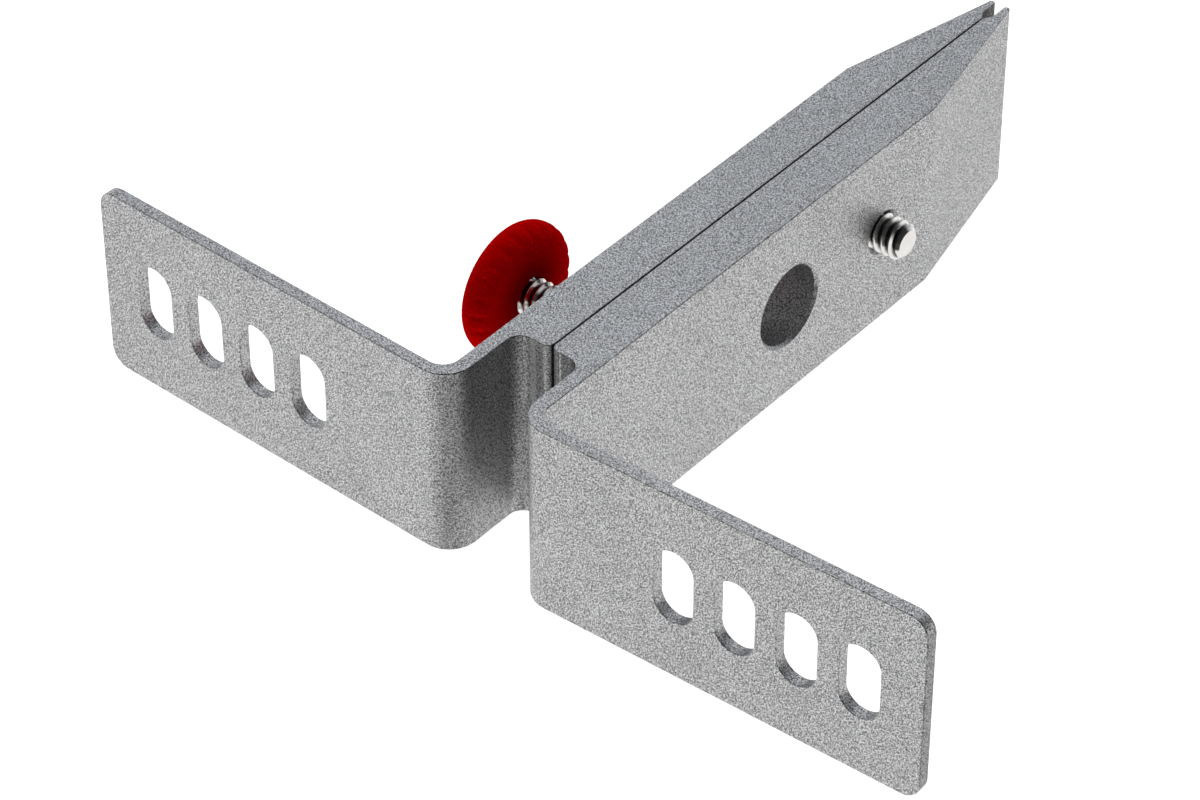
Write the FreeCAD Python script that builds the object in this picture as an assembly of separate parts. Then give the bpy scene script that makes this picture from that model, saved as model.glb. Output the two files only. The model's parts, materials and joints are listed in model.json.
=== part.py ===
"""Two-jaw edge-sharpening clamp: mirrored extruded jaws, a front clamp screw and a rear thumb screw.

Millimetres. X runs from the slotted wings (rear) to the clamping lips (front), Y from the right jaw
to the left jaw, which carries the thumb screw, and Z up along the extrusion. The origin lies under
the middle of the clamp, on the surface that it stands on. The jaws part at the plane Y = 0.
"""
import FreeCAD
import Part

import math
import os

# ---- Jaw extrusion ----
HEIGHT = 25.4            # length cut from the extrusion, and so the height as it stands
LENGTH = 96.4            # from the rearmost point of the bend to the lip tips
HALF_SPAN = 58.4         # split plane to the end of one wing
BAR = 6.4                # thickness of each clamping bar, split plane to outer face
WALL = 1.85              # thin wall that joins the bar to the wing
WING = 1.6               # wing thickness
WING_SWEEP = 1.75        # degrees that each wing leans forward
POCKET_DEPTH = 11.6      # rear of the bend to the nose of the bar
BEND_RADIUS = 3.8        # outside radius of the bend between wall and wing
NOSE_RADIUS = 0.9        # rounding of the nose at the split, which the jaws rock on
POCKET_FILLET = 1.8      # between the nose and the thin wall
BEVEL_LENGTH = 22.3      # length of the tapered front of the bar
LIP_OUTSIDE = 1.4        # split plane to the outside of the lip at its tip
LIP_RELIEF = 0.6         # depth of the relief inside the lip
RELIEF_LENGTH = 3.9      # from the start of the relief to the lip tip
RELIEF_RAMP = 1.2        # sloping start of the relief
LIP_ROUND = 0.34         # rounding of the lip edges
JAW_GAP = 0.18           # gap between the jaws' inner faces
WING_CORNER = 2.4        # rounding of the wing's outer corners
EDGE_BREAK = 0.16        # tumbled rounding along the sawn edges

# ---- Rod slots in each wing ----
SLOT_COUNT = 4
SLOT_WIDTH = 5.2
SLOT_HEIGHT = 9.9
SLOT_PITCH = 8.05
FIRST_SLOT = 26.1        # split plane to the innermost slot
SLOT_EDGE_BREAK = 0.12

# ---- Holes along the bars, placed from the nose ----
THUMB_FROM_NOSE = 18.0
BORE_FROM_NOSE = 35.2
FRONT_FROM_NOSE = 53.3
BORE_DIAMETER = 10.3     # stand bore through both jaws
BORE_CHAMFER = 0.35
TAPPED_CHAMFER = 0.5
PASSING_CLEARANCE = 0.55  # radial room for the clamp screw in the jaw that rocks

# ---- Screw thread, number 10 with 24 turns to the inch ----
THREAD_DIAMETER = 4.83
THREAD_PITCH = 25.4 / 24
THREAD_DEPTH = 0.6
THREAD_CREST = 0.14      # flat left on the crest
THREAD_CLEARANCE = 0.04  # radial room in a tapped hole
SCREW_LEAD_IN = 0.75     # chamfer at a screw's end

# ---- Front clamp screw and its washer ----
SCREW_STICK_OUT = 3.5    # beyond the right jaw
SCREW_HEAD_DIAMETER = 9.3
SCREW_HEAD_HEIGHT = 3.1
HEAD_ROUND = 1.5
RECESS_WIDTH = 1.25      # arm of the cross recess
RECESS_SPAN = 4.9
RECESS_DEPTH = 2.0
WASHER_DIAMETER = 10.4
WASHER_THICKNESS = 1.0
WASHER_ROUND = 0.2
WASHER_CLEARANCE = 0.08  # radial, round the screw
FACE_CLEARANCE = 0.05    # between faces that turn or slide on each other

# ---- Thumb screw ----
KNOB_STAND_OFF = 11.4    # left jaw's outer face to the knob
KNOB_RADIUS = 8.45       # to the crests of its teeth
KNOB_THICKNESS = 4.5
KNOB_TEETH = 24
TOOTH_DEPTH = 0.4
TOOTH_GROOVE = 0.6       # radius of the grooves between the teeth
RIM_FLAT = 0.3           # width left flat between the rim's two rounded edges
KNOB_HOLLOW = 5.0        # radius of the shallow hollow in the knob's outer face
HOLLOW_DEPTH = 0.4
COLLAR_RADIUS = 3.3      # stud's plain collar held inside the knob
COLLAR_COVER = 1.0       # plastic between the collar and the knob's outer face
COLLAR_SHOULDER = 0.9    # plastic between the collar and the knob's near face
COLLAR_CLEARANCE = 0.03
STUD_TIP_GAP = 0.08      # stud's tip to the right jaw's inner face

# ---- Modelling allowances ----
OVERSHOOT = 1.0          # how far a cutting tool reaches past the surface that it cuts
LEVEL = 0.01             # height below which an edge or face counts as level

# ---- Places that follow from the sizes above ----
REAR_X = -LENGTH / 2
TIP_X = LENGTH / 2
NOSE_X = REAR_X + POCKET_DEPTH
BREAK_X = TIP_X - BEVEL_LENGTH
MID_Z = HEIGHT / 2
THUMB_X = NOSE_X + THUMB_FROM_NOSE
BORE_X = NOSE_X + BORE_FROM_NOSE
FRONT_X = NOSE_X + FRONT_FROM_NOSE
INNER_Y = JAW_GAP / 2
THREAD_RADIUS = THREAD_DIAMETER / 2
KNOB_EDGE = (KNOB_THICKNESS - RIM_FLAT) / 2
COLLAR_LENGTH = KNOB_THICKNESS - COLLAR_COVER - COLLAR_SHOULDER
SWEEP = math.tan(math.radians(WING_SWEEP))
ACROSS = FreeCAD.Vector(0, 1, 0)
UP = FreeCAD.Vector(0, 0, 1)


def vec(x, y, z=0.0):
    return FreeCAD.Vector(x, y, z)


def cylinder_y(radius, x, y_from, y_to):
    """Cylinder along Y at mid height, from one Y to a larger one."""
    return Part.makeCylinder(radius, y_to - y_from, vec(x, y_from, MID_Z), ACROSS)


def cone_y(radius_from, radius_to, x, y_from, y_to):
    return Part.makeCone(radius_from, radius_to, y_to - y_from, vec(x, y_from, MID_Z), ACROSS)


def rounded_disc(radius, x, y_from, y_to, rounding):
    """Disc across Y with both rims rounded."""
    disc = cylinder_y(radius, x, y_from, y_to)
    rims = [edge for edge in disc.Edges if edge.BoundBox.YLength < LEVEL]
    return disc.makeFillet(rounding, rims)


def revolve_y(points, x):
    """Solid of revolution about the line along Y at x and mid height; points are (radius, y)."""
    outline = [vec(x + radius, y, MID_Z) for radius, y in points]
    face = Part.Face(Part.makePolygon(outline + [outline[0]]))
    return face.revolve(vec(x, 0, MID_Z), ACROSS, 360)


def vertical_edge(shape, x, y):
    """The edge along Z that stands over one plan point."""
    def distance(edge):
        ends = [vertex.Point for vertex in edge.Vertexes]
        if len(ends) < 2 or abs(ends[0].z - ends[-1].z) < HEIGHT / 2:
            return math.inf
        return math.hypot(ends[0].x - x, ends[0].y - y)
    return min(shape.Edges, key=distance)


# ---- Jaws ----
def wing_face_x(y, behind):
    """X at one Y on the wing's rear face, or on the plane `behind` mm in front of it."""
    bend_centre_y = BAR - WALL + BEND_RADIUS
    slant = math.cos(math.radians(WING_SWEEP))
    rear_at_bend = REAR_X + BEND_RADIUS - BEND_RADIUS / slant
    return rear_at_bend + behind / slant + (y - bend_centre_y) * SWEEP


def jaw_corners():
    """Plan outline of the left jaw with sharp corners, and the rounding that each corner gets."""
    wing_end_front = HALF_SPAN - WING * math.sin(math.radians(WING_SWEEP))
    relief_x = TIP_X - RELIEF_LENGTH
    relief_y = INNER_Y + LIP_RELIEF
    return [
        ((NOSE_X, INNER_Y), NOSE_RADIUS),
        ((relief_x, INNER_Y), 0),
        ((relief_x + RELIEF_RAMP, relief_y), 0),
        ((TIP_X, relief_y), LIP_ROUND),
        ((TIP_X, LIP_OUTSIDE), LIP_ROUND),
        ((BREAK_X, BAR), 0),
        ((wing_face_x(BAR, WING), BAR), BEND_RADIUS - WING),
        ((wing_face_x(wing_end_front, WING), wing_end_front), 0),
        ((wing_face_x(HALF_SPAN, 0), HALF_SPAN), 0),
        ((wing_face_x(BAR - WALL, 0), BAR - WALL), BEND_RADIUS),
        ((NOSE_X, BAR - WALL), POCKET_FILLET),
    ]


def jaw_prism():
    corners = jaw_corners()
    outline = [vec(*point) for point, _ in corners]
    prism = Part.Face(Part.makePolygon(outline + [outline[0]])).extrude(UP * HEIGHT)
    for (x, y), radius in corners:
        if radius:
            prism = prism.makeFillet(radius, [vertical_edge(prism, x, y)])
    return prism


def round_wing_corners(jaw):
    """Rounds the wing's two outer corners, in the plane of the wing."""
    edges = []
    for edge in jaw.Edges:
        box = edge.BoundBox
        on_end = box.YMin > HALF_SPAN - WING
        level = box.ZLength < LEVEL and box.XLength > WING / 2
        if on_end and level:
            edges.append(edge)
    return jaw.makeFillet(WING_CORNER, edges)


def break_sawn_edges(jaw):
    """Rounds the long edges of the top and bottom faces a little."""
    edges = []
    for face in jaw.Faces:
        if face.BoundBox.ZLength < LEVEL:
            edges.extend(face.Edges)
    return jaw.makeFillet(EDGE_BREAK, edges)


def rod_slot(y):
    """Tool for one rod slot: an upright oblong with round ends, square to the wing."""
    radius = SLOT_WIDTH / 2
    half = SLOT_HEIGHT / 2 - radius
    reach = 2 * WING
    left, right = vec(0, -radius, 0), vec(0, radius, 0)
    low, high = UP * -half, UP * half
    wire = Part.Wire([
        Part.LineSegment(left + low, left + high).toShape(),
        Part.Arc(left + high, high + UP * radius, right + high).toShape(),
        Part.LineSegment(right + high, right + low).toShape(),
        Part.Arc(right + low, low - UP * radius, left + low).toShape(),
    ])
    tool = Part.Face(wire).extrude(vec(2 * reach, 0, 0))
    tool.translate(vec(-reach, 0, 0))
    tool.rotate(vec(0, 0, 0), UP, -WING_SWEEP)
    tool.translate(vec(wing_face_x(y, WING / 2), y, MID_Z))
    return tool


def slot_rim_edges(jaw):
    """The edges round the mouths of the slots."""
    edges = []
    for edge in jaw.Edges:
        box = edge.BoundBox
        along_slots = FIRST_SLOT - SLOT_WIDTH < box.Center.y < FIRST_SLOT + SLOT_COUNT * SLOT_PITCH
        within_height = abs(box.Center.z - MID_Z) < SLOT_HEIGHT / 2 + LEVEL
        on_one_face = box.XLength < WING / 2
        if along_slots and within_height and on_one_face and box.YLength < SLOT_WIDTH + LEVEL:
            edges.append(edge)
    return edges


def plain_jaw():
    """The extrusion with its rounded corners and slots, as cut for the left side."""
    jaw = break_sawn_edges(round_wing_corners(jaw_prism()))
    for number in range(SLOT_COUNT):
        jaw = jaw.cut(rod_slot(FIRST_SLOT + number * SLOT_PITCH))
    return jaw.makeFillet(SLOT_EDGE_BREAK, slot_rim_edges(jaw))


def chamfered_hole(x, radius, chamfer, mouths):
    """Tool for a hole along Y through the left bar, with a chamfer at each listed mouth."""
    wide = radius + chamfer + OVERSHOOT
    tool = cylinder_y(radius, x, -OVERSHOOT, BAR + OVERSHOOT)
    if "outer" in mouths:
        tool = tool.fuse(cone_y(radius, wide, x, BAR - chamfer, BAR + OVERSHOOT))
    if "inner" in mouths:
        tool = tool.fuse(cone_y(wide, radius, x, INNER_Y - OVERSHOOT, INNER_Y + chamfer))
    return tool


def left_jaw():
    tapped = THREAD_RADIUS + THREAD_CLEARANCE
    jaw = plain_jaw()
    jaw = jaw.cut(chamfered_hole(THUMB_X, tapped, TAPPED_CHAMFER, ["outer"]))
    jaw = jaw.cut(chamfered_hole(BORE_X, BORE_DIAMETER / 2, BORE_CHAMFER, ["outer"]))
    return jaw.cut(chamfered_hole(FRONT_X, THREAD_RADIUS + PASSING_CLEARANCE, 0, []))


def right_jaw():
    tapped = THREAD_RADIUS + THREAD_CLEARANCE
    jaw = plain_jaw()
    jaw = jaw.cut(chamfered_hole(BORE_X, BORE_DIAMETER / 2, BORE_CHAMFER, ["outer"]))
    jaw = jaw.cut(chamfered_hole(FRONT_X, tapped, TAPPED_CHAMFER, ["outer", "inner"]))
    return jaw.mirror(vec(0, 0, 0), ACROSS)


# ---- Threads ----
def threaded_rod(x, y_from, y_to):
    """Rod along Y with a lead-in at its lower end and its thread drawn as rings of the same section."""
    flank = (THREAD_PITCH - THREAD_CREST) / 2
    first_ring = y_from + SCREW_LEAD_IN
    outline = [(0, y_from), (THREAD_RADIUS - SCREW_LEAD_IN, y_from), (THREAD_RADIUS, first_ring)]
    for turn in range(int((y_to - first_ring) / THREAD_PITCH)):
        groove = first_ring + THREAD_CREST + turn * THREAD_PITCH
        outline.append((THREAD_RADIUS, groove))
        outline.append((THREAD_RADIUS - THREAD_DEPTH, groove + flank))
        outline.append((THREAD_RADIUS, groove + 2 * flank))
    outline.extend([(THREAD_RADIUS, y_to), (0, y_to)])
    return revolve_y(outline, x)


# ---- Front clamp screw ----
def front_washer():
    inner = BAR + FACE_CLEARANCE
    outer = inner + WASHER_THICKNESS
    disc = rounded_disc(WASHER_DIAMETER / 2, FRONT_X, inner, outer, WASHER_ROUND)
    hole = THREAD_RADIUS + WASHER_CLEARANCE
    return disc.cut(cylinder_y(hole, FRONT_X, inner - OVERSHOOT, outer + OVERSHOOT))


def front_screw():
    seat = BAR + FACE_CLEARANCE + WASHER_THICKNESS + FACE_CLEARANCE
    top = seat + SCREW_HEAD_HEIGHT
    radius = SCREW_HEAD_DIAMETER / 2
    head = cylinder_y(radius, FRONT_X, seat, top)
    rim = max(head.Edges, key=lambda edge: edge.BoundBox.YMin)
    head = head.makeFillet(HEAD_ROUND, [rim])
    shank = threaded_rod(FRONT_X, -BAR - SCREW_STICK_OUT, seat + THREAD_PITCH)
    recess_floor = top - RECESS_DEPTH
    arm = Part.makeBox(RECESS_SPAN, RECESS_DEPTH + OVERSHOOT, RECESS_WIDTH)
    arm.translate(vec(FRONT_X - RECESS_SPAN / 2, recess_floor, MID_Z - RECESS_WIDTH / 2))
    cross = arm.fuse(arm.rotated(vec(FRONT_X, 0, MID_Z), ACROSS, 90))
    driver_taper = cone_y(RECESS_WIDTH / 2, RECESS_SPAN / 2, FRONT_X, recess_floor, top)
    driver_taper = driver_taper.fuse(cylinder_y(RECESS_SPAN / 2, FRONT_X, top, top + OVERSHOOT))
    return head.fuse(shank).cut(cross.common(driver_taper))


# ---- Thumb screw ----
def thumb_stud():
    """Threaded stud with the collar that the knob holds."""
    far = BAR + KNOB_STAND_OFF + KNOB_THICKNESS - COLLAR_COVER
    collar = cylinder_y(COLLAR_RADIUS, THUMB_X, far - COLLAR_LENGTH, far)
    return collar.fuse(threaded_rod(THUMB_X, -INNER_Y + STUD_TIP_GAP, far - COLLAR_LENGTH / 2))


def stud_room():
    """The space that the stud and its collar need inside the knob."""
    near = BAR + KNOB_STAND_OFF
    far = near + KNOB_THICKNESS - COLLAR_COVER + COLLAR_CLEARANCE
    collar_start = far - COLLAR_LENGTH - 2 * COLLAR_CLEARANCE
    collar = cylinder_y(COLLAR_RADIUS + COLLAR_CLEARANCE, THUMB_X, collar_start, far)
    return collar.fuse(cylinder_y(THREAD_RADIUS + COLLAR_CLEARANCE, THUMB_X, near - OVERSHOOT, far))


def knob_groove(number):
    """The groove beside one tooth of the rim."""
    angle = 2 * math.pi * number / KNOB_TEETH
    reach = KNOB_RADIUS + TOOTH_GROOVE - TOOTH_DEPTH
    centre = vec(THUMB_X + reach * math.cos(angle), BAR, MID_Z + reach * math.sin(angle))
    length = KNOB_STAND_OFF + KNOB_THICKNESS + OVERSHOOT
    return Part.makeCylinder(TOOTH_GROOVE, length, centre, ACROSS)


def thumb_knob():
    """Disc with well-rounded rims, shallow teeth and a shallow hollow in its outer face."""
    near = BAR + KNOB_STAND_OFF
    far = near + KNOB_THICKNESS
    knob = rounded_disc(KNOB_RADIUS, THUMB_X, near, far, KNOB_EDGE)
    knob = knob.cut(Part.makeCompound([knob_groove(number) for number in range(KNOB_TEETH)]))
    floor = KNOB_HOLLOW - HOLLOW_DEPTH
    knob = knob.cut(cone_y(floor, KNOB_HOLLOW + OVERSHOOT, THUMB_X, far - HOLLOW_DEPTH, far + OVERSHOOT))
    return knob.cut(stud_room())


PIECES = {
    "left_jaw": left_jaw,
    "right_jaw": right_jaw,
    "front_screw": front_screw,
    "front_washer": front_washer,
    "thumb_stud": thumb_stud,
    "thumb_knob": thumb_knob,
}

os.makedirs("parts", exist_ok=True)
for name, make in PIECES.items():
    solid = make()
    if solid.ShapeType == "Compound" and len(solid.Solids) == 1:
        solid = solid.Solids[0]
    print(name, solid.ShapeType, len(solid.Solids), solid.isValid(), round(solid.Volume, 1))
    solid.exportStep("parts/" + name + ".step")
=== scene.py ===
"""Studio scene of a two-jaw edge-sharpening clamp.

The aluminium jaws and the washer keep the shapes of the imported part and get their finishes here.
The two screws are modelled again with real helical threads, and the knob with its crowned face and
smooth teeth. Metres throughout.
"""
import json
import math

import bmesh
import bpy
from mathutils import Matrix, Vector


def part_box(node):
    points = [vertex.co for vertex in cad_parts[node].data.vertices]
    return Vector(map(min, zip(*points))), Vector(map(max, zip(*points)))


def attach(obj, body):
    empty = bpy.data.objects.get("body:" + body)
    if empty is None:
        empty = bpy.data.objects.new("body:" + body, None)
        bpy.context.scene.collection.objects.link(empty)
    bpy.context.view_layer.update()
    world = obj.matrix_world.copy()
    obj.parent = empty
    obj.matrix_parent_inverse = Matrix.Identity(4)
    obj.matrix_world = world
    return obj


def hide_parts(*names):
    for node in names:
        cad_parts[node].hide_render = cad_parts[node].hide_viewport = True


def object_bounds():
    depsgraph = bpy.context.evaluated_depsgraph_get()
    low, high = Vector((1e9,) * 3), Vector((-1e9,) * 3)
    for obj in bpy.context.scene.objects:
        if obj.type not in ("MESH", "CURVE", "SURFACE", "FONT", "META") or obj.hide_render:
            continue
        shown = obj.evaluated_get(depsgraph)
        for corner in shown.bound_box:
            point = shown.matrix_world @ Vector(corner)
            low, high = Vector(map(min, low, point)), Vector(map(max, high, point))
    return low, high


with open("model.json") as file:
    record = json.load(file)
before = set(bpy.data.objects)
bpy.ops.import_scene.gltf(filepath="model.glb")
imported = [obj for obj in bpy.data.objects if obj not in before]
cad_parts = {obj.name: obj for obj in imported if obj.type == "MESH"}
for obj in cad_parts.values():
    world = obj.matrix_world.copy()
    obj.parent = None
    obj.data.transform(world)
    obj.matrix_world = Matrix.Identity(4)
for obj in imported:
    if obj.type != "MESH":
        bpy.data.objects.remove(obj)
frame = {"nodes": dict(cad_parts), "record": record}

bl_info = {
    "name": "Edge Sharpening Clamp",
    "version": (1, 0, 0),
    "blender": (4, 5, 0),
    "location": "3D View > Sidebar > Clamp",
    "description": "Builds the screws and the finishes of a two-jaw sharpening clamp, and its studio",
    "category": "Object",
}

MM = 0.001
CAD_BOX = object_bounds()


def centre_of(node):
    """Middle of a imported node's box."""
    low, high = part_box(node)
    return (low + high) / 2


def size_of(node):
    low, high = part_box(node)
    return high - low


HEIGHT = size_of("left_jaw").z
SCREW_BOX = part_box("front_screw")
STUD_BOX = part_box("thumb_stud")
COLLAR_LENGTH = 2.6 * MM

# NOSE is the rear end of the bars, and RELIEF is just behind the relief inside the lips.
NOSE = CAD_BOX[0].x + 11.6 * MM
RELIEF = CAD_BOX[1].x - 4.2 * MM

# The holes through the bars: the stand rod's bore, the front screw's hole and the stud's tapped hole.
BORE = next(mount for mount in frame["record"]["mounts"] if mount["name"] == "stand_bore")
BAR = BORE["dims"]["length_mm"] * MM / 2
SCREW_HOLE_RADIUS = 2.97 * MM
STUD_HOLE_RADIUS = 2.46 * MM
HOLES = [
    (BORE["pos_m"][0], BORE["dims"]["r_mm"] * MM),
    (centre_of("front_screw").x, SCREW_HOLE_RADIUS),
    (centre_of("thumb_stud").x, STUD_HOLE_RADIUS),
]

# Points nearer to a cutting plane than this count as lying on it.
ON_PLANE = 0.00001 * MM
STEPS_PER_TURN = 64
SIDES_PER_TOOTH = 12
SLACK_IN_KNOB = 0.03 * MM
COLLAR_EDGE = 0.1 * MM
HEAD_SEAT_EDGE = 0.12 * MM
LIGHTS_AIM = (0, 0, 0.012)


# ---------------------------------------------------------------- settings
class JawFinish(bpy.types.PropertyGroup):
    """Look of the tumbled aluminium."""
    metal: bpy.props.FloatVectorProperty(
        name="Metal", description="Colour of the bare aluminium",
        subtype="COLOR", size=3, min=0, max=1, default=(0.55, 0.55, 0.556))
    grain: bpy.props.FloatProperty(
        name="Grain", description="Width of one grain of the tumbled surface",
        subtype="DISTANCE", unit="LENGTH", min=0.00002, default=0.00017)
    roughness: bpy.props.FloatProperty(
        name="Roughness", description="How widely the surface spreads a reflection",
        subtype="FACTOR", min=0, max=1, default=0.40)
    relief: bpy.props.FloatProperty(
        name="Relief", description="Height of the grain",
        subtype="DISTANCE", unit="LENGTH", min=0, default=0.00006)


class ThreadSizes(bpy.types.PropertyGroup):
    """Thread that both screws share."""
    diameter: bpy.props.FloatProperty(
        name="Diameter", description="Across the crests",
        subtype="DISTANCE", unit="LENGTH", min=0.001, default=4.83 * MM)
    pitch: bpy.props.FloatProperty(
        name="Pitch", description="Advance in one turn",
        subtype="DISTANCE", unit="LENGTH", min=0.0002, default=25.4 / 24 * MM)
    depth: bpy.props.FloatProperty(
        name="Depth", description="Crest to root, along the radius",
        subtype="DISTANCE", unit="LENGTH", min=0, default=0.6 * MM)
    crest: bpy.props.FloatProperty(
        name="Crest", description="Width of the flat on the crest",
        subtype="DISTANCE", unit="LENGTH", min=0, default=0.14 * MM)
    flank: bpy.props.FloatProperty(
        name="Flank", description="Length along the axis of each sloping side",
        subtype="DISTANCE", unit="LENGTH", min=0, default=0.35 * MM)
    lead_in: bpy.props.FloatProperty(
        name="Lead-in", description="Chamfer at the tip",
        subtype="DISTANCE", unit="LENGTH", min=0, default=0.75 * MM)


class ScrewHeadSizes(bpy.types.PropertyGroup):
    """Rounded head of the front screw."""
    height: bpy.props.FloatProperty(
        name="Height", description="Seat to top",
        subtype="DISTANCE", unit="LENGTH", min=0.001, default=3.1 * MM)
    rounding: bpy.props.FloatProperty(
        name="Rounding", description="Rounding of the head's outer edge",
        subtype="DISTANCE", unit="LENGTH", min=0, default=1.5 * MM)
    recess_width: bpy.props.FloatProperty(
        name="Recess width", description="Width of one arm of the cross recess",
        subtype="DISTANCE", unit="LENGTH", min=0, default=1.25 * MM)
    recess_span: bpy.props.FloatProperty(
        name="Recess span", description="Length of the cross recess at the top of the head",
        subtype="DISTANCE", unit="LENGTH", min=0, default=4.9 * MM)
    recess_depth: bpy.props.FloatProperty(
        name="Recess depth", description="Depth of the cross recess",
        subtype="DISTANCE", unit="LENGTH", min=0, default=2.0 * MM)


class KnobSettings(bpy.types.PropertyGroup):
    """Shape and look of the moulded knob."""
    teeth: bpy.props.IntProperty(
        name="Teeth", description="Shallow teeth round the rim", min=3, default=24)
    tooth_depth: bpy.props.FloatProperty(
        name="Tooth depth", description="Crest to valley, along the radius",
        subtype="DISTANCE", unit="LENGTH", min=0, default=0.5 * MM)
    rim_round: bpy.props.FloatProperty(
        name="Rim rounding", description="Rounding of the rim's two edges",
        subtype="DISTANCE", unit="LENGTH", min=0, default=2.1 * MM)
    crown: bpy.props.FloatProperty(
        name="Crown", description="How far the near face bulges towards the jaw",
        subtype="DISTANCE", unit="LENGTH", min=0, default=0.35 * MM)
    hollow: bpy.props.FloatProperty(
        name="Hollow", description="Radius of the shallow hollow in the outer face",
        subtype="DISTANCE", unit="LENGTH", min=0, default=5.0 * MM)
    hollow_depth: bpy.props.FloatProperty(
        name="Hollow depth", description="Depth of that hollow",
        subtype="DISTANCE", unit="LENGTH", min=0, default=0.4 * MM)
    colour: bpy.props.FloatVectorProperty(
        name="Colour", description="Colour of the moulded plastic",
        subtype="COLOR", size=3, min=0, max=1, default=(0.46, 0.0004, 0.0006))
    roughness: bpy.props.FloatProperty(
        name="Roughness", description="How widely the plastic spreads a reflection",
        subtype="FACTOR", min=0, max=1, default=0.30)


class StageSettings(bpy.types.PropertyGroup):
    """Camera, floor and lights."""
    camera_place: bpy.props.FloatVectorProperty(
        name="Camera place", description="Where the camera stands",
        subtype="TRANSLATION", unit="LENGTH", size=3, default=(-0.33315, -0.24911, 0.33744))
    camera_turn: bpy.props.FloatVectorProperty(
        name="Camera turn", description="Tilt, roll and heading of the camera",
        subtype="EULER", unit="ROTATION", size=3,
        default=[math.radians(angle) for angle in (50.4797, 0.0261, -50.7993)])
    lens: bpy.props.FloatProperty(
        name="Lens", description="Focal length in millimetres",
        unit="CAMERA", min=10, default=136.94)
    sides: bpy.props.FloatProperty(
        name="Sides", description="Brightness of the white cards at both sides, below the horizon",
        min=0, default=0.93)
    above: bpy.props.FloatProperty(
        name="Above", description="Brightness of the tent's far wall, above the horizon",
        min=0, default=0.61)
    shade: bpy.props.FloatProperty(
        name="Shade", description="Brightness of the rest of the tent above the horizon",
        min=0, default=0.03)
    lens_side: bpy.props.FloatProperty(
        name="Lens side", description="Brightness of the side that the camera stands on",
        min=0, default=0.06)
    floor_glow: bpy.props.FloatProperty(
        name="Floor glow", description="Light that the floor gives off itself",
        min=0, default=1.0)


class ClampSettings(bpy.types.PropertyGroup):
    """All of the clamp's settings."""
    jaws: bpy.props.PointerProperty(type=JawFinish)
    thread: bpy.props.PointerProperty(type=ThreadSizes)
    head: bpy.props.PointerProperty(type=ScrewHeadSizes)
    knob: bpy.props.PointerProperty(type=KnobSettings)
    stage: bpy.props.PointerProperty(type=StageSettings)


# ---------------------------------------------------------------- materials
class Value:
    """A value socket that can be used in sums; each sum adds its Math node."""

    def __init__(self, nodes, socket):
        self.nodes = nodes
        self.socket = socket

    def __add__(self, other):
        return self.nodes.math("ADD", self, other)

    def __radd__(self, other):
        return self.nodes.math("ADD", other, self)

    def __sub__(self, other):
        return self.nodes.math("SUBTRACT", self, other)

    def __rsub__(self, other):
        return self.nodes.math("SUBTRACT", other, self)

    def __mul__(self, other):
        return self.nodes.math("MULTIPLY", self, other)

    def __rmul__(self, other):
        return self.nodes.math("MULTIPLY", other, self)

    def __abs__(self):
        return self.nodes.math("ABSOLUTE", self)


class Nodes:
    """A node tree that nodes are added to."""

    def __init__(self, tree):
        self.tree = tree

    def feed(self, socket, value):
        """Sets a socket to a number or colour, or links it to a Value or another socket."""
        if isinstance(value, Value):
            self.tree.links.new(value.socket, socket)
        elif isinstance(value, bpy.types.NodeSocket):
            self.tree.links.new(value, socket)
        else:
            socket.default_value = value

    def node(self, kind, settings, sockets):
        """Adds a node, sets its settings, then feeds its sockets, by number or by name."""
        made = self.tree.nodes.new(kind)
        for name, setting in settings.items():
            if name == "stops":
                self.set_stops(made.color_ramp, setting)
            else:
                setattr(made, name, setting)
        numbered = enumerate(sockets) if isinstance(sockets, list) else sockets.items()
        for place, value in numbered:
            self.feed(made.inputs[place], value)
        return made

    def set_stops(self, ramp, stops):
        while len(ramp.elements) < len(stops):
            ramp.elements.new(1.0)
        for element, (position, shade) in zip(ramp.elements, stops):
            element.position = position
            element.color = (shade, shade, shade, 1)

    def math(self, operation, *values):
        """The result of a Math node, as a Value."""
        made = self.node("ShaderNodeMath", {"operation": operation}, list(values))
        return Value(self, made.outputs[0])

    def rise(self, value, start, end):
        """Rises smoothly from 0 at `start` to 1 at `end`."""
        made = self.node("ShaderNodeMapRange", {"interpolation_type": "SMOOTHSTEP"}, {
            "Value": value, "From Min": start, "From Max": end})
        return Value(self, made.outputs[0])

    def fall(self, value, start, end):
        """Falls smoothly from 1 at `start` to 0 at `end`."""
        return 1 - self.rise(value, start, end)

    def distance(self, across, up):
        return self.math("SQRT", across * across + up * up)

    def split(self, vector):
        """The x, y and z of a vector, as Values."""
        parts = self.node("ShaderNodeSeparateXYZ", {}, [vector]).outputs
        return [Value(self, part) for part in parts]

    def mix(self, factor, first, second):
        """Mixes two colours."""
        made = self.node("ShaderNodeMix", {"data_type": "RGBA"}, {0: factor, 6: first, 7: second})
        return made.outputs[2]


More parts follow.
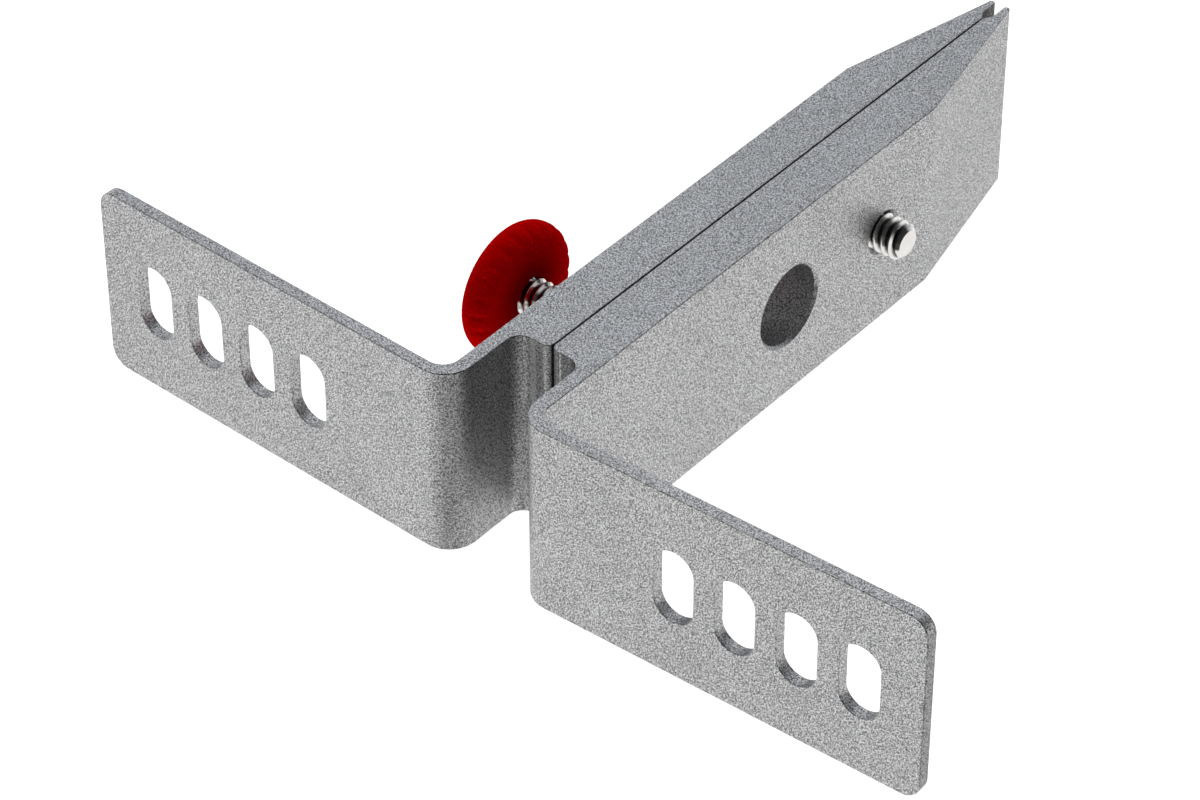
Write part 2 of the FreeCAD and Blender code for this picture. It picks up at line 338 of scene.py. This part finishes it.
class Finish(Nodes):
    """One material, with its Principled shader ready to be fed."""

    def __init__(self, name):
        self.material = bpy.data.materials.new(name)
        self.material.use_nodes = True
        super().__init__(self.material.node_tree)
        self.shader = next(n for n in self.tree.nodes if n.type == "BSDF_PRINCIPLED")

    def set(self, **sockets):
        """Feeds the shader's own sockets; underscores in names stand for spaces."""
        for name, value in sockets.items():
            self.feed(self.shader.inputs[name.replace("_", " ").title()], value)

    def place(self):
        """The shaded point's place on the object."""
        return self.node("ShaderNodeTexCoord", {}, {}).outputs["Object"]

    def noise(self, width, detail=2.0, roughness=0.5, offset=0.0):
        """Noise whose features are about `width` across, as a Value from 0 to 1.

        It is turned, because on a flat face that lies along its own lattice it fades away.
        """
        turned = self.node("ShaderNodeMapping", {}, {
            "Vector": self.place(),
            "Location": (offset, offset, offset),
            "Rotation": (0.4, 0.6, 0.8)}).outputs[0]
        made = self.node("ShaderNodeTexNoise", {}, {
            "Vector": turned, "Scale": 1 / width, "Detail": detail, "Roughness": roughness})
        return Value(self, made.outputs["Fac"])

    def tint(self, colour, factor):
        """A colour times a value."""
        made = self.node("ShaderNodeVectorMath", {"operation": "SCALE"}, {
            "Vector": colour, "Scale": factor})
        return made.outputs[0]

    def ramp(self, value, *stops):
        """A grey ramp of (position, shade) stops, as a Value."""
        made = self.node("ShaderNodeValToRGB", {"stops": stops}, {"Fac": value})
        return Value(self, made.outputs["Color"])

    def bump(self, height, distance, strength=1.0):
        made = self.node("ShaderNodeBump", {}, {
            "Height": height, "Distance": distance, "Strength": strength})
        return made.outputs["Normal"]


def shade(colour, factor):
    """A colour with an alpha, made lighter or darker."""
    return tuple(channel * factor for channel in colour) + (1.0,)


def tumbled_aluminium(look):
    """Bead-like tumbled aluminium: fine light and dark grains with a soft sheen, rougher inside the bores,
    with painted shade in the bores, the pocket and the split, and painted shade and highlights on the edges
    and noses.
    """
    finish = Finish("tumbled_aluminium")
    metal = tuple(look.metal)
    dark_grain, light_grain = shade(metal, 0.30), shade(metal, 1.70)
    pit_colour, highlight_dot_colour = shade(metal, 0.12), (0.96, 0.96, 0.97, 1)
    fine = finish.noise(look.grain, detail=1, roughness=0.5)
    finer = finish.noise(look.grain * 0.6, detail=0, offset=0.013)
    surface = fine * 0.6 + finer * 0.4
    grains = finish.ramp(surface, (0.44, 0.0), (0.56, 1.0))
    broad = finish.noise(14 * MM, detail=3, roughness=0.55)
    tone = grains * 0.88 + broad * 0.12
    pits = finish.rise(finish.noise(1.9 * MM, detail=4, roughness=0.75, offset=0.4), 0.735, 0.76)
    bores = inside_bores(finish)
    # Painted shade: the base colour is darkened in the bores, in the pocket behind the noses and in the
    # split between the jaws.
    recess_shade = (1 - 0.1 * bores) * (1 - 0.22 * pocket_shade(finish)) * (1 - 0.75 * split_shade(finish))
    lines, highlight_dots = edge_shade_and_highlights(finish)
    cast = finish.tint(finish.mix(tone, dark_grain, light_grain), recess_shade * lines * nose_highlights_and_shade(finish))
    # Painted highlight dots: white, non-metallic spots on the right wing's edge take the place of the metal
    # there.
    finish.set(
        base_color=finish.mix(highlight_dots, finish.mix(pits, cast, pit_colour), highlight_dot_colour),
        metallic=0.92 * (1 - highlight_dots),
        roughness=look.roughness + 0.14 * (1 - grains) + 0.1 * bores,
        normal=finish.bump(surface, look.relief, 1.0),
    )
    return finish.material


def inside_bores(finish):
    """1 on the walls of the holes through the bars, and 0 on the bars' faces."""
    x, y, z = finish.split(finish.place())
    within_bar = finish.fall(abs(y), BAR - 0.5 * MM, BAR - 0.4 * MM)
    near_hole = 0
    for centre, radius in HOLES:
        from_axis = finish.distance(x - centre, z - HEIGHT / 2)
        near_hole = near_hole + finish.fall(from_axis, radius + 0.05 * MM, radius + 0.15 * MM)
    return near_hole * within_bar


def pocket_shade(finish):
    """Mask for painted shade: 1 on the walls of the pocket behind the noses, fading outwards."""
    x, y, z = finish.split(finish.place())
    behind_bars = finish.fall(x, NOSE - 2.6 * MM, NOSE + 0.4 * MM)
    between_wings = finish.fall(abs(y), 4.6 * MM, 6.4 * MM)
    below_top = finish.fall(z, HEIGHT - 0.2 * MM, HEIGHT - 0.05 * MM)
    return behind_bars * between_wings * below_top


def split_shade(finish):
    """Mask for painted shade: 1 between the jaws' inner faces and in the relief behind the lips, just below
    the top.
    """
    x, y, z = finish.split(finish.place())
    between_faces = finish.fall(abs(y), 0.16 * MM, 0.26 * MM)
    between_faces = between_faces * finish.rise(x, NOSE - 0.1 * MM, NOSE + 0.2 * MM)
    in_relief = finish.fall(abs(y), 0.72 * MM, 0.80 * MM) * finish.rise(x, RELIEF, RELIEF + 0.2 * MM)
    below_top = finish.fall(z, HEIGHT - 0.25 * MM, HEIGHT - 0.1 * MM)
    return finish.math("MAXIMUM", between_faces, in_relief) * below_top


def nose_highlights_and_shade(finish):
    """Factor for painted highlights on the upright strips of the two noses and painted shade beside the
    right nose, in the pocket.
    """
    x, y, z = finish.split(finish.place())
    at_nose = finish.rise(x, NOSE - 2.2 * MM, NOSE - 1.8 * MM)
    at_nose = at_nose * finish.fall(x, NOSE + 0.9 * MM, NOSE + 1.1 * MM)
    below_top = finish.fall(z, HEIGHT - 0.2 * MM, HEIGHT - 0.05 * MM)
    left = finish.rise(y, 1.95 * MM, 2.15 * MM) * finish.fall(y, 2.65 * MM, 2.95 * MM)
    right = finish.rise(y, -1.60 * MM, -1.52 * MM) * finish.fall(y, -1.36 * MM, -1.28 * MM)
    shaded = finish.rise(y, -5.6 * MM, -5.2 * MM) * finish.fall(y, -1.28 * MM, -0.8 * MM)
    # Painted highlights on the two nose strips and painted shade beside the right nose.
    return 1 + at_nose * below_top * (1.4 * left + 1.0 * right - 0.45 * shaded)


def edge_shade_and_highlights(finish):
    """Painted shade and highlight on the rounding of the sawn edges, by the way it faces: a dark band with
    a light line above; painted shade on the wings' end faces; and painted highlight dots on the right wing.
    """
    normal = finish.node("ShaderNodeNewGeometry", {}, {}).outputs["Normal"]
    steepness = abs(finish.split(normal)[2])
    _, y, z = finish.split(finish.place())
    sawn = finish.rise(abs(z - HEIGHT / 2), HEIGHT / 2 - 0.3 * MM, HEIGHT / 2 - 0.2 * MM)
    right_wing = finish.fall(y, -10 * MM, -8 * MM)
    wing_end_shade = finish.rise(abs(y), CAD_BOX[1].y - 0.15 * MM, CAD_BOX[1].y - 0.08 * MM)
    dark = finish.rise(steepness, 0.05, 0.15) * finish.fall(steepness, 0.55, 0.70)
    light = finish.rise(steepness, 0.60, 0.75) * finish.fall(steepness, 0.94, 0.99)
    rounding = finish.rise(steepness, 0.05, 0.15) * finish.fall(steepness, 0.94, 0.99)
    highlight_dots = finish.rise(finish.noise(0.5 * MM, detail=1, offset=0.2), 0.52, 0.60)
    # Painted shade and highlight: darker where the edge rounding is steep, lighter just above, and darker
    # on the wings' end faces.
    lines = (1 - 0.55 * sawn * dark + 0.3 * light * sawn) * (1 - 0.35 * wing_end_shade)
    return lines, 0.85 * highlight_dots * rounding * right_wing * sawn


def thread_root_shade(finish):
    """Mask for painted shade: 1 deep in the threads of both screws, and 0 on the crests and end faces."""
    x, y, z = finish.split(finish.place())
    screw, stud = centre_of("front_screw"), centre_of("thumb_stud")
    across = finish.math("MINIMUM", abs(x - screw.x), abs(x - stud.x))
    deep = finish.fall(finish.distance(across, z - screw.z), 1.85 * MM, 2.2 * MM)
    behind_end = finish.rise(y, SCREW_BOX[0].y + 0.25 * MM, SCREW_BOX[0].y + 0.45 * MM)
    return deep * behind_end


def bright_plating():
    """Bright nickel-like plating with faint turning marks and painted shade in the thread roots, for the
    screws and the washer.
    """
    finish = Finish("bright_plating")
    marks = finish.noise(0.12 * MM, detail=2)
    smears = finish.noise(1.5 * MM, detail=2)
    plating = finish.mix(smears, (0.80, 0.78, 0.76, 1), (0.95, 0.93, 0.90, 1))
    finish.set(
        # Painted shade: the base colour is darkened deep in the threads.
        base_color=finish.tint(plating, 1 - 0.85 * thread_root_shade(finish)),
        metallic=1.0,
        roughness=0.05 + 0.08 * smears,
        normal=finish.bump(marks, 0.002 * MM, 0.5),
    )
    return finish.material


def moulded_red(look):
    """Moulded red plastic with painted shade towards the centre and painted light on the rim, a faint mould
    texture and painted highlight specks on the rim.
    """
    finish = Finish("moulded_red")
    colour = tuple(look.colour)
    flow = finish.noise(3 * MM, detail=3, roughness=0.6)
    texture = finish.noise(0.22 * MM, detail=2, roughness=0.6)
    centre = centre_of("thumb_knob")
    x, _, z = finish.split(finish.place())
    # Painted shade and light: the base colour is darker near the stud and lighter towards the rim.
    lit_rim = finish.rise(finish.distance(x - centre.x, z - centre.z), 2.2 * MM, 8.2 * MM)
    # Painted highlights: pale specks on the rim.
    highlight_specks = finish.rise(finish.noise(0.3 * MM, detail=1, offset=0.7), 0.64, 0.70) * lit_rim
    plastic = finish.mix(flow, shade(colour, 0.9), shade(colour, 1.1))
    finish.set(
        base_color=finish.tint(plastic, 0.62 + 1.1 * lit_rim + 1.2 * highlight_specks),
        roughness=look.roughness + 0.14 * (texture - 0.5),
        normal=finish.bump(texture, 0.015 * MM, 0.6),
    )
    finish.shader.inputs["Specular IOR Level"].default_value = 0.0
    return finish.material


def dress(obj, material):
    """Gives every face of an object one material."""
    obj.data.materials.clear()
    obj.data.materials.append(material)


# ---------------------------------------------------------------- modelling helpers
def select_only(obj):
    bpy.ops.object.select_all(action="DESELECT")
    obj.select_set(True)
    bpy.context.view_layer.objects.active = obj


def apply_modifier(obj, kind, settings):
    """Adds a modifier with its settings and applies it."""
    select_only(obj)
    modifier = obj.modifiers.new(kind.lower(), kind)
    for name, setting in settings.items():
        setattr(modifier, name, setting)
    bpy.ops.object.modifier_apply(modifier=modifier.name)


def combine(obj, tool, operation):
    """Unites, cuts or intersects one solid with another, which is used up."""
    apply_modifier(obj, "BOOLEAN", {"operation": operation, "object": tool, "solver": "EXACT"})
    bpy.data.objects.remove(tool)


def tidy(obj):
    """Merges doubles and turns every face outwards."""
    select_only(obj)
    bpy.ops.object.mode_set(mode="EDIT")
    bpy.ops.mesh.select_all(action="SELECT")
    bpy.ops.mesh.remove_doubles(threshold=0.0005 * MM)
    bpy.ops.mesh.normals_make_consistent(inside=False)
    bpy.ops.object.mode_set(mode="OBJECT")


def settle(obj, smooth_angle):
    """Puts an object's place into its mesh and smooths its gentle edges."""
    select_only(obj)
    bpy.ops.object.transform_apply(location=True, rotation=True, scale=True)
    bpy.ops.object.shade_smooth_by_angle(angle=math.radians(smooth_angle))


def add_cylinder(centre, radius, low, high, sides=96):
    """Closed cylinder along Y between two places on that axis."""
    bpy.ops.object.select_all(action="DESELECT")
    bpy.ops.mesh.primitive_cylinder_add(
        vertices=sides, radius=radius, depth=high - low,
        location=(centre.x, (low + high) / 2, centre.z), rotation=(math.pi / 2, 0, 0))
    obj = bpy.context.active_object
    bpy.ops.object.transform_apply(location=True, rotation=True, scale=True)
    return obj


def select_edges(obj, wanted):
    """In edit mode, selects just the edges that `wanted` accepts."""
    bpy.ops.mesh.select_mode(type="EDGE")
    bpy.ops.mesh.select_all(action="DESELECT")
    mesh = bmesh.from_edit_mesh(obj.data)
    for edge in mesh.edges:
        edge.select_set(wanted(edge))
    bmesh.update_edit_mesh(obj.data)


def bevel_ring(obj, place, width, segments):
    """Bevels the ring of edges that lies at one place along Y."""
    select_only(obj)
    bpy.ops.object.mode_set(mode="EDIT")
    select_edges(obj, lambda edge: all(abs(v.co.y - place) < 0.01 * MM for v in edge.verts))
    bpy.ops.mesh.bevel(offset=width, segments=segments, affect="EDGES")
    bpy.ops.object.mode_set(mode="OBJECT")


def cut_off(obj, place, side):
    """Cuts a solid across at one place along Y and closes the cut.

    `side` is +1 to drop what lies beyond the place, and -1 to drop what lies before it.
    """
    select_only(obj)
    bpy.ops.object.mode_set(mode="EDIT")
    bpy.ops.mesh.select_all(action="SELECT")
    bpy.ops.mesh.bisect(
        plane_co=(0, place, 0), plane_no=(0, side, 0), threshold=ON_PLANE, use_fill=True, clear_outer=True)
    bpy.ops.object.mode_set(mode="OBJECT")


def add_line(points):
    """Open line through (across, along) points, in the XY plane."""
    bpy.ops.object.select_all(action="DESELECT")
    bpy.ops.mesh.primitive_grid_add(x_subdivisions=1, y_subdivisions=len(points) - 1, size=1)
    line = bpy.context.active_object
    bpy.ops.object.mode_set(mode="EDIT")
    bpy.ops.mesh.select_all(action="DESELECT")
    mesh = bmesh.from_edit_mesh(line.data)
    for vert in mesh.verts:
        if vert.co.x > 0:
            vert.select_set(True)
    bmesh.update_edit_mesh(line.data)
    bpy.ops.mesh.delete(type="VERT")
    mesh = bmesh.from_edit_mesh(line.data)
    in_order = sorted(mesh.verts, key=lambda vert: vert.co.y)
    for vert, (across, along) in zip(in_order, points):
        vert.co = (across, along, 0)
    bmesh.update_edit_mesh(line.data)
    bpy.ops.object.mode_set(mode="OBJECT")
    return line


def helical_rod(centre, low, high, thread):
    """Threaded rod along Y, made by screwing one pitch of its outline round the axis."""
    crest = thread.diameter / 2
    root = crest - thread.depth
    start = low - 1.5 * thread.pitch
    rod = add_line([
        (crest, start),
        (crest, start + thread.crest),
        (root, start + thread.crest + thread.flank),
        (root, start + thread.pitch - thread.flank),
        (crest, start + thread.pitch),
    ])
    turns = math.ceil((high - low) / thread.pitch) + 3
    apply_modifier(rod, "SCREW", {
        "axis": "Y", "angle": 2 * math.pi, "screw_offset": thread.pitch, "iterations": turns,
        "steps": STEPS_PER_TURN, "render_steps": STEPS_PER_TURN, "use_merge_vertices": False})
    for vert in rod.data.vertices:
        vert.co.x += centre.x
        vert.co.z += centre.z
    tidy(rod)
    cut_off(rod, high, 1)
    cut_off(rod, low, -1)
    tidy(rod)
    return rod


def cut_lead_in(rod, centre, low, thread):
    """Turns the rod's low end down to a cone, which the thread rises out of."""
    rings = 6
    select_only(rod)
    bpy.ops.object.mode_set(mode="EDIT")
    for ring in range(1, rings + 1):
        bpy.ops.mesh.select_all(action="SELECT")
        place = low + thread.lead_in * ring / rings
        bpy.ops.mesh.bisect(plane_co=(0, place, 0), plane_no=(0, 1, 0), threshold=ON_PLANE)
    bpy.ops.object.mode_set(mode="OBJECT")
    end_radius = thread.diameter / 2 - thread.lead_in
    for vert in rod.data.vertices:
        across = Vector((vert.co.x - centre.x, 0, vert.co.z - centre.z))
        excess = across.length - (end_radius + vert.co.y - low)
        if excess > 0:
            vert.co -= across.normalized() * excess
    tidy(rod)


# ---------------------------------------------------------------- operators
class CLAMP_OT_jaws(bpy.types.Operator):
    """Gives both jaws their tumbled aluminium"""
    bl_idname = "clamp.jaws"
    bl_label = "Jaws"

    def execute(self, context):
        material = tumbled_aluminium(context.scene.clamp.jaws)
        for node in ("left_jaw", "right_jaw"):
            dress(frame["nodes"][node], material)
        return {"FINISHED"}


class CLAMP_OT_washer(bpy.types.Operator):
    """Gives the washer under the front screw its plating"""
    bl_idname = "clamp.washer"
    bl_label = "Washer"

    def execute(self, context):
        dress(frame["nodes"]["front_washer"], bright_plating())
        return {"FINISHED"}


class CLAMP_OT_front_screw(bpy.types.Operator):
    """Models the front screw: rounded head, cross recess and helical thread"""
    bl_idname = "clamp.front_screw"
    bl_label = "Front screw"

    def execute(self, context):
        settings = context.scene.clamp
        head_sizes, thread = settings.head, settings.thread
        centre = centre_of("front_screw")
        low, top = SCREW_BOX[0].y, SCREW_BOX[1].y
        seat = top - head_sizes.height
        radius = size_of("front_screw").x / 2

        screw = helical_rod(centre, low, seat + thread.pitch, thread)
        cut_lead_in(screw, centre, low, thread)

        head = add_cylinder(centre, radius, seat, top)
        bevel_ring(head, top, head_sizes.rounding, 8)
        bevel_ring(head, seat, HEAD_SEAT_EDGE, 2)
        arm_x = (head_sizes.recess_span, head_sizes.recess_depth * 2, head_sizes.recess_width)
        arm_z = (head_sizes.recess_width, head_sizes.recess_depth * 2, head_sizes.recess_span)
        for arm in (arm_x, arm_z):
            bpy.ops.object.select_all(action="DESELECT")
            bpy.ops.mesh.primitive_cube_add(size=1, location=(centre.x, top, centre.z), scale=arm)
            combine(head, bpy.context.active_object, "DIFFERENCE")
        combine(screw, head, "UNION")
        tidy(screw)
        settle(screw, 32)
        screw.name = "front_screw_threaded"
        dress(screw, bright_plating())
        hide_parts("front_screw")
        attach(screw, "front_screw")
        return {"FINISHED"}


class CLAMP_OT_thumb_stud(bpy.types.Operator):
    """Models the thumb screw's stud: helical thread and the collar held in the knob"""
    bl_idname = "clamp.thumb_stud"
    bl_label = "Thumb stud"

    def execute(self, context):
        thread = context.scene.clamp.thread
        centre = centre_of("thumb_stud")
        low, far = STUD_BOX[0].y, STUD_BOX[1].y
        stud = helical_rod(centre, low, far - COLLAR_LENGTH / 2, thread)
        cut_lead_in(stud, centre, low, thread)
        collar = add_cylinder(centre, size_of("thumb_stud").x / 2, far - COLLAR_LENGTH, far)
        bevel_ring(collar, far, COLLAR_EDGE, 2)
        combine(stud, collar, "UNION")
        tidy(stud)
        settle(stud, 32)
        stud.name = "thumb_stud_threaded"
        dress(stud, bright_plating())
        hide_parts("thumb_stud")
        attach(stud, "thumb_stud")
        return {"FINISHED"}


class CLAMP_OT_thumb_knob(bpy.types.Operator):
    """Models the thumb screw's knob: a crowned disc with round rims and shallow teeth"""
    bl_idname = "clamp.thumb_knob"
    bl_label = "Thumb knob"

    def execute(self, context):
        sizes = context.scene.clamp.knob
        low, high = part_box("thumb_knob")
        centre = centre_of("thumb_knob")
        radius = size_of("thumb_knob").z / 2
        crown_start = low.y + sizes.crown
        knob = add_cylinder(centre, radius, crown_start, high.y, sides=sizes.teeth * SIDES_PER_TOOTH)
        bevel_ring(knob, high.y, sizes.rim_round, 12)
        bevel_ring(knob, crown_start, sizes.rim_round - sizes.crown, 12)
        self.crown_face(knob, crown_start, sizes)
        self.hollow_face(knob, high.y, sizes)
        self.cut_teeth(knob, centre, radius, sizes)
        self.bore(knob, centre)
        tidy(knob)
        settle(knob, 40)
        knob.name = "thumb_knob_moulded"
        dress(knob, moulded_red(sizes))
        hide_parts("thumb_knob")
        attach(knob, "thumb_knob")
        return {"FINISHED"}

    def select_end(self, knob, place):
        """In edit mode, selects the flat end face at one place along Y."""
        bpy.ops.mesh.select_mode(type="FACE")
        bpy.ops.mesh.select_all(action="DESELECT")
        mesh = bmesh.from_edit_mesh(knob.data)
        for face in mesh.faces:
            face.select_set(all(abs(v.co.y - place) < 0.01 * MM for v in face.verts))
        bmesh.update_edit_mesh(knob.data)

    def crown_face(self, knob, place, sizes):
        """Insets the near face in rings and draws each ring a little towards the jaw."""
        rings = 6
        reach = size_of("thumb_knob").z / 2 - sizes.rim_round + sizes.crown
        select_only(knob)
        bpy.ops.object.mode_set(mode="EDIT")
        self.select_end(knob, place)
        done = 0.0
        for ring in range(1, rings):
            bpy.ops.mesh.inset(thickness=reach / rings)
            rise = sizes.crown * (1 - (1 - ring / rings) ** 2)
            bpy.ops.transform.translate(value=(0, done - rise, 0))
            done = rise
        bpy.ops.object.mode_set(mode="OBJECT")

    def hollow_face(self, knob, place, sizes):
        """Insets the outer face and sinks it a little."""
        flat = size_of("thumb_knob").z / 2 - sizes.rim_round
        select_only(knob)
        bpy.ops.object.mode_set(mode="EDIT")
        self.select_end(knob, place)
        bpy.ops.mesh.inset(thickness=max(flat - sizes.hollow, 0.05 * MM))
        bpy.ops.mesh.inset(thickness=sizes.hollow_depth, depth=-sizes.hollow_depth)
        bpy.ops.object.mode_set(mode="OBJECT")

    def cut_teeth(self, knob, centre, radius, sizes):
        """Draws narrow valleys between the teeth inwards, deepest on the jaw's side of the rim."""
        rim = radius - sizes.rim_round
        low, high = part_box("thumb_knob")
        for vert in knob.data.vertices:
            across = Vector((vert.co.x - centre.x, 0, vert.co.z - centre.z))
            if across.length > rim:
                turn = math.atan2(across.z, across.x) * sizes.teeth
                valley = (0.5 - 0.5 * math.cos(turn)) ** 3
                share = (across.length - rim) / sizes.rim_round
                fade = max(0, 1 - 1.6 * (vert.co.y - low.y) / (high.y - low.y))
                vert.co -= across.normalized() * sizes.tooth_depth * valley * share * fade

    def bore(self, knob, centre):
        """Opens the near face for the stud."""
        tip, far = STUD_BOX[0].y, STUD_BOX[1].y
        radius = size_of("thumb_stud").x / 2 + SLACK_IN_KNOB
        collar = add_cylinder(
            centre, radius, far - COLLAR_LENGTH - SLACK_IN_KNOB, far + SLACK_IN_KNOB)
        combine(knob, collar, "DIFFERENCE")
        thread = bpy.context.scene.clamp.thread
        passage = add_cylinder(
            centre, thread.diameter / 2 + SLACK_IN_KNOB, tip, far - COLLAR_LENGTH / 2)
        combine(knob, passage, "DIFFERENCE")


def light_tent(settings):
    """World light of a white tent: bright cards at both sides, a dark opening on the camera's side."""
    world = bpy.data.worlds.new("light_tent")
    world.use_nodes = True
    nodes = Nodes(world.node_tree)
    heading = Vector(settings.camera_place) * Vector((1, 1, 0))
    heading.normalize()
    direction = nodes.node("ShaderNodeTexCoord", {}, {}).outputs["Generated"]
    x, y, z = nodes.split(direction)
    towards_camera = x * heading.x + y * heading.y
    camera_side = nodes.rise(towards_camera, 0.66, 0.82)
    near_half = nodes.rise(towards_camera, -0.55, -0.05)
    above_horizon = nodes.rise(z, -0.12, 0.16)
    white, cool_white = (1.0, 1.0, 1.0), (0.95, 0.985, 1.04)
    low_ring = nodes.mix(
        camera_side, shade(white, settings.sides), shade(white, settings.lens_side))
    high_ring = nodes.mix(
        near_half, shade(cool_white, settings.above), shade(white, settings.shade))
    background = next(n for n in world.node_tree.nodes if n.type == "BACKGROUND")
    nodes.feed(background.inputs["Color"], nodes.mix(above_horizon, low_ring, high_ring))
    background.inputs["Strength"].default_value = 1.0
    return world


def add_soft_light(name, place, size, power):
    """Square soft box that points at the clamp."""
    bpy.ops.object.select_all(action="DESELECT")
    bpy.ops.object.light_add(type="AREA", location=place)
    lamp = bpy.context.active_object
    lamp.name = name
    lamp.data.size = size
    lamp.data.energy = power
    lamp.rotation_euler = (Vector(LIGHTS_AIM) - Vector(place)).to_track_quat("-Z", "Y").to_euler()


class CLAMP_OT_stage(bpy.types.Operator):
    """Sets up the pale floor, the soft light and the camera"""
    bl_idname = "clamp.stage"
    bl_label = "Stage"

    def execute(self, context):
        scene = context.scene
        settings = scene.clamp.stage
        scene.view_settings.view_transform = "Standard"

        bpy.ops.object.select_all(action="DESELECT")
        bpy.ops.mesh.primitive_plane_add(size=6, location=(0, 0, 0))
        floor = bpy.context.active_object
        floor.name = "floor"
        paper = Finish("floor_paper")
        fibres = paper.noise(4 * MM, detail=2)
        paper.set(
            base_color=paper.mix(fibres, (0.84, 0.84, 0.84, 1), (0.86, 0.86, 0.86, 1)),
            roughness=0.9)
        paper.shader.inputs["Emission Color"].default_value = (1, 1, 1, 1)
        paper.shader.inputs["Emission Strength"].default_value = settings.floor_glow
        dress(floor, paper.material)

        # Only the camera sees the floor, so that it casts no light or reflection on the metal.
        floor.visible_glossy = False
        floor.visible_diffuse = False

        scene.world = light_tent(settings)
        add_soft_light("side_light", place=(-0.60, 0.42, 0.16), size=0.22, power=0.5)
        add_soft_light("top_light", place=(0.05, 0.10, 0.70), size=0.25, power=0.7)

        bpy.ops.object.select_all(action="DESELECT")
        bpy.ops.object.camera_add(location=settings.camera_place)
        camera = bpy.context.active_object
        camera.rotation_euler = settings.camera_turn
        camera.data.sensor_fit = "HORIZONTAL"
        camera.data.sensor_width = 36
        camera.data.lens = settings.lens
        camera.data.clip_start = 0.01
        scene.camera = camera
        return {"FINISHED"}


class CLAMP_PT_panel(bpy.types.Panel):
    """Buttons that build the clamp's pieces, and its settings"""
    bl_idname = "CLAMP_PT_panel"
    bl_label = "Sharpening clamp"
    bl_space_type = "VIEW_3D"
    bl_region_type = "UI"
    bl_category = "Clamp"

    def draw(self, context):
        for operator in OPERATORS:
            self.layout.operator(operator.bl_idname)
        settings = context.scene.clamp
        for group in (settings.jaws, settings.thread, settings.head, settings.knob, settings.stage):
            box = self.layout.box()
            for name in group.__annotations__:
                box.prop(group, name)


OPERATORS = [
    CLAMP_OT_jaws, CLAMP_OT_washer, CLAMP_OT_front_screw,
    CLAMP_OT_thumb_stud, CLAMP_OT_thumb_knob, CLAMP_OT_stage,
]
CLASSES = [
    JawFinish, ThreadSizes, ScrewHeadSizes, KnobSettings, StageSettings, ClampSettings,
    *OPERATORS, CLAMP_PT_panel,
]


def register():
    for item in CLASSES:
        bpy.utils.register_class(item)
    bpy.types.Scene.clamp = bpy.props.PointerProperty(type=ClampSettings)


def unregister():
    del bpy.types.Scene.clamp
    for item in reversed(CLASSES):
        bpy.utils.unregister_class(item)


def main():
    register()
    bpy.ops.clamp.jaws()
    bpy.ops.clamp.washer()
    bpy.ops.clamp.front_screw()
    bpy.ops.clamp.thumb_stud()
    bpy.ops.clamp.thumb_knob()
    bpy.ops.clamp.stage()


if __name__ == "__main__":
    main()
